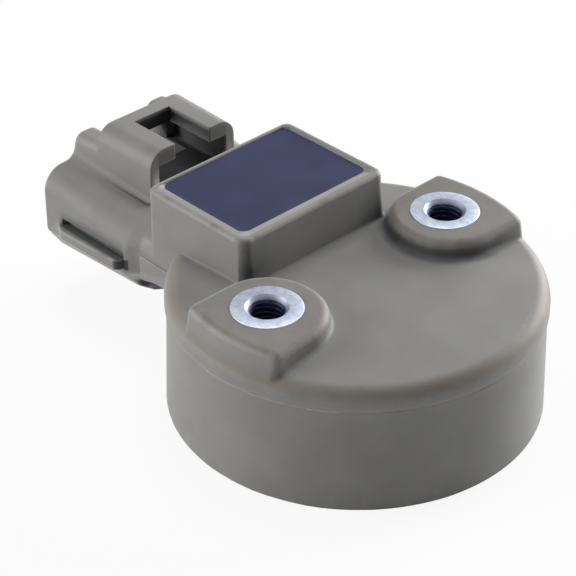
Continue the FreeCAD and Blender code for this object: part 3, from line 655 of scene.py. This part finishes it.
def makeHousing(spec):
    mesh = cadNodes["housing"].data.copy()
    mesh.name = "housingShell"
    mendMesh(mesh, joinWithin=spec["joinWithin"], turnOut=False)
    setAttribute(mesh, "edgeCurve", vertexCurve(mesh, spec))
    piece = finishPiece(
        "housingShell", mesh, housingMaterial, "housing_plastic", "housing", sharpAngle=spec["sharpAngle"],
    )
    weights = piece.modifiers.new("faceWeights", "WEIGHTED_NORMAL")
    weights.keep_sharp = True
    return piece


housingShell = makeHousing(housing)
print("housing shell made:", len(housingShell.data.polygons), "faces")


# Bushes: the outside is turned, and the bore's radius is the larger of the chamfer's and the thread's. The
# thread is a triangle wave, cut flat at its crest and its root, of the height less the turn's share of a
# pitch.
bush = {
    "nodes": ("bush_left", "bush_right"),
    "boreRadius": 2.1 * mm,
    "threadDepth": 0.4 * mm,
    "pitch": 0.8 * mm,
    "waveHeight": 1.25,          # of the uncut triangle wave, in thread depths
    "rootCut": 0.05,             # taken off the wave, in thread depths
    "chamfer": 0.95 * mm,
    "lip": 0.02 * mm,            # from the bore's edge to the flat end
    "edgeChamfer": 0.3 * mm,
    "edgeShares": (0.35, 0.2),   # where the chamfer is rounded, as shares of it from the side and the top
    "stepsPerPitch": 12,
    "columns": 72,
    "joinWithin": 0.002 * mm,
    "sharpAngle": 40,
    "shadeRadii": (2.35 * mm, 2.65 * mm, 3.05 * mm, 3.7 * mm),
    "shades": (1.0, 0.5, 0.2, 0.0),
}


def bushPoints(spec, low, high):
    centre = (low + high) / 2
    outer = (high.x - low.x) / 2
    top = high.z
    angle = np.linspace(0, 2 * math.pi, spec["columns"], endpoint=False)
    depth = np.linspace(0, top, int((top / spec["pitch"]) * spec["stepsPerPitch"]))
    height = (top - depth)[:, None] + 0 * angle[None, :]
    phase = (height / spec["pitch"] - angle[None, :] / (2 * math.pi)) % 1.0
    ridge = np.clip(spec["waveHeight"] * (1 - np.abs(2 * phase - 1)) - spec["rootCut"], 0, 1)
    threaded = spec["boreRadius"] + spec["threadDepth"] * ridge
    fromEnd = np.minimum(depth, top - depth)[:, None]
    chamfered = spec["boreRadius"] + spec["chamfer"] - fromEnd
    bore = np.maximum(threaded, chamfered)
    flatStart = bore[0, 0] + spec["lip"]
    edge = spec["edgeChamfer"]
    fromSide, fromTop = spec["edgeShares"]
    outline = np.array([
        (flatStart, top),
        (outer - edge, top),
        (outer - fromSide * edge, top - fromTop * edge),
        (outer, top - edge),
        (outer, edge),
        (outer, 0.0),
        (flatStart, 0.0),
    ])
    radius = np.vstack([bore[::-1], np.repeat(outline[:, :1], len(angle), axis=1)])
    heights = np.vstack([height[::-1], np.repeat(outline[:, 1:], len(angle), axis=1)])
    return np.stack([
        centre.x + radius * np.cos(angle),
        centre.y + radius * np.sin(angle),
        low.z + heights,
    ], axis=-1)


# Painted shade darkens the bore and the chamfer round it: the shade falls with the distance from the bush's
# axis, which is kept as well
def shadeBore(spec, mesh, centre):
    points = meshPoints(mesh)
    fromAxis = np.hypot(points[:, 0] - centre.x, points[:, 1] - centre.y)
    setAttribute(mesh, "boreShade", np.interp(fromAxis, spec["shadeRadii"], spec["shades"]))
    setAttribute(mesh, "turnedRadius", fromAxis)


def makeBush(spec, node):
    low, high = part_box(node)
    name = node + "_threaded"
    mesh = gridMesh(name, bushPoints(spec, low, high), wrapRows=True, wrapColumns=True)
    mendMesh(mesh, joinWithin=spec["joinWithin"])
    shadeBore(spec, mesh, (low + high) / 2)
    finishPiece(name, mesh, bushMaterial, "bush_metal", node, sharpAngle=spec["sharpAngle"])


for node in bush["nodes"]:
    makeBush(bush, node)
print("bushes made")


# Potting: its top climbs the walls in a meniscus, as a negative exponential of the distance to the wall,
# over a slow swell of crossed sines.
potting = {
    "cavityLow": (-27.3 * mm, -12.2 * mm),
    "cavityHigh": (-10.1 * mm, 12.2 * mm),
    "cornerRadius": 1.4 * mm,
    "raise": 0.17 * mm,       # above the CAD solid's flat top
    "climb": 0.1 * mm,
    "reach": 0.4 * mm,
    "swell": 0.03 * mm,
    "swellLengths": (2.3 * mm, 3.1 * mm),
    "swellStart": 1,
    "thickness": 0.5 * mm,
    "rings": 60,
    "around": 240,
    "innermost": 0.02,        # share of the ring before it
    "joinWithin": 0.002 * mm,
    "sharpAngle": 50,
}


# A rounded rectangle's points by angle round its middle: each point of the sharp rectangle is drawn in
# until it is one corner radius away from the inner rectangle that joins the corners' centres.
def roundedRing(spec, count):
    lowX, lowY = spec["cavityLow"]
    highX, highY = spec["cavityHigh"]
    halfX, halfY = (highX - lowX) / 2, (highY - lowY) / 2
    radius = spec["cornerRadius"]
    turn = np.linspace(0, 2 * math.pi, count, endpoint=False)
    direction = np.stack([np.cos(turn), np.sin(turn)], axis=-1)
    inner = np.array([halfX - radius, halfY - radius])
    reach = np.min((inner + radius) / np.maximum(np.abs(direction), tiny), axis=1)
    edge = direction * reach[:, None]
    core = np.clip(edge, -inner, inner)
    away = edge - core
    length = np.maximum(np.linalg.norm(away, axis=1), tiny)[:, None]
    outline = core + away / length * radius
    return outline + np.array([(lowX + highX) / 2, (lowY + highY) / 2])


def pottingPoints(spec, top):
    outline = roundedRing(spec, spec["around"])
    middle = outline.mean(axis=0)
    share = np.linspace(0, 1, spec["rings"]) ** 2
    level = middle + (outline - middle)[None, :, :] * (1 - share[:, None, None])
    level[-1] = middle + (level[-2] - middle) * spec["innermost"]
    toWall = np.linalg.norm(level - outline[None, :, :], axis=-1)
    rise = spec["climb"] * np.exp(-toWall / spec["reach"])
    lengthX, lengthY = spec["swellLengths"]
    waves = np.sin(level[..., 0] / lengthX + spec["swellStart"]) * np.sin(level[..., 1] / lengthY)
    swell = spec["swell"] * waves
    surface = np.concatenate([level, (top + rise + swell)[..., None]], axis=-1)
    floor = np.full((len(outline), 1), top - spec["thickness"])
    inner = np.concatenate([level[-1], floor], axis=-1)[None]
    bottom = np.concatenate([outline, floor], axis=-1)[None]
    return np.concatenate([surface, inner, bottom])


def makePotting(spec):
    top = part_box("potting_compound")[1].z + spec["raise"]
    mesh = gridMesh("pottingSurface", pottingPoints(spec, top), wrapRows=True, wrapColumns=True)
    mendMesh(mesh, joinWithin=spec["joinWithin"])
    finishPiece("pottingSurface", mesh, pottingMaterial, "potting", sharpAngle=spec["sharpAngle"])


makePotting(potting)
print("potting surface made")


# Seams: a thin bead of plastic along a path, whose height is a sum of sines of the way along it, broken
# by seeded noise and faded in and out at its ends
roundSeams = {
    "partingFlash": {
        "material": flashMaterial, "radius": 26.98 * mm, "height": 16.4 * mm, "from": -114, "to": -50,
        "proud": 0.18 * mm, "thickness": 0.13 * mm, "steps": 360, "seed": 7, "unevenness": 2.2,
    },
    "partingTrace": {
        "material": housingMaterial, "radius": 26.98 * mm, "height": 16.4 * mm, "from": -50, "to": 146,
        "proud": 0.05 * mm, "thickness": 0.06 * mm, "steps": 720, "seed": 11, "unevenness": 1.0,
    },
    "footBurr": {
        "material": housingMaterial, "radius": 27.04 * mm, "height": 0.16 * mm, "from": -146, "to": 146,
        "proud": 0.1 * mm, "thickness": 0.1 * mm, "steps": 1080, "seed": 3, "unevenness": 1.3,
    },
}
straightSeams = {
    "neckSeam": {"fromX": -30.2 * mm, "toX": -23.4 * mm, "y": 14.15 * mm, "height": 15.1 * mm},
    "humpSeam": {"fromX": -45.4 * mm, "toX": -40.8 * mm, "y": 7.3 * mm, "height": 27.22 * mm},
}
straightBead = {
    "material": flashMaterial, "proud": 0.08 * mm, "thickness": 0.07 * mm, "steps": 90, "seed": 5,
    "unevenness": 1.0,
}
bead = {
    "pointsAround": 8,
    "waveRates": (9, 23, 47, 95),
    "latestStart": 6.28,         # of a wave, about a full turn
    "middle": 0.6,
    "waveShare": 0.5,
    "lowest": 0.1,
    "stepsPerChip": 4,
    "chipLowest": 0.55,
    "chipShare": 0.45,
    "endShare": 0.05,            # of the way, at each end
    "endLowest": 0.02,
    "thinnest": 0.25,            # share of the thickness where the bead has no height
    "thickened": 0.75,           # what its full height adds to that
    "sharpAngle": 60,
}


# How much of its full height a bead has at each step
def beadAmounts(spec, steps):
    random = np.random.default_rng(spec["seed"])
    way = np.linspace(0, 1, steps)
    rates = bead["waveRates"]
    waves = sum(np.sin(way * rate + random.uniform(0, bead["latestStart"])) for rate in rates) / len(rates)
    chipSteps = np.arange(0, steps, bead["stepsPerChip"])
    chips = np.interp(np.arange(steps), chipSteps, random.random(len(chipSteps)))
    height = np.clip(bead["middle"] + bead["waveShare"] * waves, bead["lowest"], 1)
    chipped = bead["chipLowest"] + bead["chipShare"] * chips
    ends = np.clip(np.minimum(way, 1 - way) / bead["endShare"], bead["endLowest"], 1)
    return (height * chipped) ** spec["unevenness"] * ends


# A closed bead: rings of points round a path, each an ellipse spanned by the outward way and up
def makeBead(name, spec, path, outward):
    amount = beadAmounts(spec, len(path))[:, None, None]
    turn = np.linspace(0, 2 * math.pi, bead["pointsAround"], endpoint=False)[None, :, None]
    out = spec["proud"] * amount * np.cos(turn) * outward[:, None, :]
    thickness = spec["thickness"] * (bead["thinnest"] + bead["thickened"] * amount)
    up = thickness * np.sin(turn) * np.array([0, 0, 1])
    mesh = gridMesh(name, path[:, None, :] + out + up, wrapColumns=True)
    mendMesh(mesh, closeEnds=True)
    finishPiece(name, mesh, spec["material"], "housing_plastic", sharpAngle=bead["sharpAngle"])


def makeRoundSeam(name, spec):
    angle = np.radians(np.linspace(spec["from"], spec["to"], spec["steps"]))
    outward = np.stack([np.cos(angle), np.sin(angle), 0 * angle], axis=-1)
    path = spec["radius"] * outward + np.array([0, 0, spec["height"]])
    makeBead(name, spec, path, outward)


def makeStraightSeam(name, spec, side):
    x = np.linspace(spec["fromX"], spec["toX"], straightBead["steps"])
    path = np.stack([x, 0 * x + side * spec["y"], 0 * x + spec["height"]], axis=-1)
    outward = np.tile([0.0, side, 0.0], (len(x), 1))
    makeBead(name, straightBead, path, outward)


for name, spec in roundSeams.items():
    makeRoundSeam(name, spec)
for sideName, side in (("Left", -1), ("Right", 1)):
    for name, spec in straightSeams.items():
        makeStraightSeam(name + sideName, spec, side)
print("seams made")


# CAD nodes that stay as they are and get their finish
finishes = {
    "terminal_supply": tinMaterial,
    "terminal_signal": tinMaterial,
    "terminal_ground": tinMaterial,
    "hall_lead_supply": tinMaterial,
    "hall_lead_ground": tinMaterial,
    "hall_lead_signal": tinMaterial,
    "potting_compound": pottingMaterial,
    "circuit_board": boardMaterial,
    "hall_chip": chipMaterial,
    "pull_up_resistor": chipMaterial,
    "suppressor_diode": chipMaterial,
    "capacitor_supply": capacitorMaterial,
    "capacitor_output": capacitorMaterial,
    "flux_concentrator": ironMaterial,
    "magnet_backing_plate": ironMaterial,
    "magnet": nickelMaterial,
    "magnet_adhesive": adhesiveMaterial,
}
for node, material in finishes.items():
    cadNodes[node].data.materials.clear()
    cadNodes[node].data.materials.append(material)
print("finishes given to", len(finishes), "nodes")


# Floor: pale, and whiter still to the camera, so that only the object's shadow shows on it
floorLook = {
    "size": 3.0,
    "color": (0.93, 0.93, 0.93, 1),
    "rough": 0.9,
    "glow": 1.0,
    "whiteShare": 0.9,
    "drop": 0.02 * mm,
}


def makeFloor(look):
    half = look["size"] / 2
    corners = ((-half, -half), (half, -half), (half, half), (-half, half))
    mesh = bpy.data.meshes.new("floor")
    mesh.from_pydata([(x, y, -look["drop"]) for x, y in corners], [], [(0, 1, 2, 3)])
    floor = bpy.data.objects.new("floor", mesh)
    sceneNow.collection.objects.link(floor)
    material, build, shader = newMaterial("paleFloor")
    shader.inputs["Base Color"].default_value = look["color"]
    shader.inputs["Roughness"].default_value = look["rough"]
    glow = build.add("ShaderNodeEmission", inputs={"Color": white, "Strength": look["glow"]}).outputs[0]
    path = build.add("ShaderNodeLightPath").outputs
    seen = build.math("MAXIMUM", path["Is Camera Ray"], path["Is Glossy Ray"])
    share = build.math("MULTIPLY", seen, look["whiteShare"])
    mixed = build.add("ShaderNodeMixShader", inputs={0: share, 1: shader.outputs[0], 2: glow}).outputs[0]
    surface = next(node for node in build.tree.nodes if node.type == "OUTPUT_MATERIAL")
    build.link(mixed, surface.inputs["Surface"])
    mesh.materials.append(material)


makeFloor(floorLook)


# Lights: a strong low lamp behind on the right, low ones on the left and behind it, and one overhead.
# They are large and soft and all face the origin, and the world only keeps the darkest places open.
lamps = {
    "rearRight": {"at": (0.020, 0.735, 0.156), "size": 0.6, "power": 8.6},
    "rearLeft": {"at": (-0.529, 0.509, 0.156), "size": 0.6, "power": 0.3},
    "left": {"at": (-0.480, -0.555, 0.156), "size": 0.6, "power": 4.9},
    "overhead": {"at": (-0.094, 0.090, 0.739), "size": 0.6, "power": 2.8},
}
world = {"strength": 0.02, "toCamera": 0.98, "toGloss": 0.3}


def makeLamp(name, spec):
    data = bpy.data.lights.new(name, "AREA")
    data.shape = "DISK"
    data.size = spec["size"]
    data.energy = spec["power"]
    lamp = bpy.data.objects.new(name, data)
    lamp.location = spec["at"]
    lamp.rotation_euler = Vector(spec["at"]).to_track_quat("Z", "Y").to_euler()
    sceneNow.collection.objects.link(lamp)


for name, spec in lamps.items():
    makeLamp(name, spec)


# World: nearly dark to the surfaces it lights, white to the camera and pale to reflections
def makeWorld(spec):
    backdrop = bpy.data.worlds.new("paleWorld")
    backdrop.use_nodes = True
    build = NodeBuilder(backdrop.node_tree)
    path = build.add("ShaderNodeLightPath").outputs
    seen = build.math("MULTIPLY", path["Is Camera Ray"], spec["toCamera"])
    reflected = build.math("MULTIPLY", path["Is Glossy Ray"], spec["toGloss"])
    strength = build.math("ADD", build.math("ADD", seen, reflected), spec["strength"])
    surface = backdrop.node_tree.nodes["Background"]
    surface.inputs["Color"].default_value = white
    build.link(strength, surface.inputs["Strength"])
    sceneNow.world = backdrop


makeWorld(world)
sceneNow.view_settings.view_transform = "Standard"
print("floor, lamps and world made")
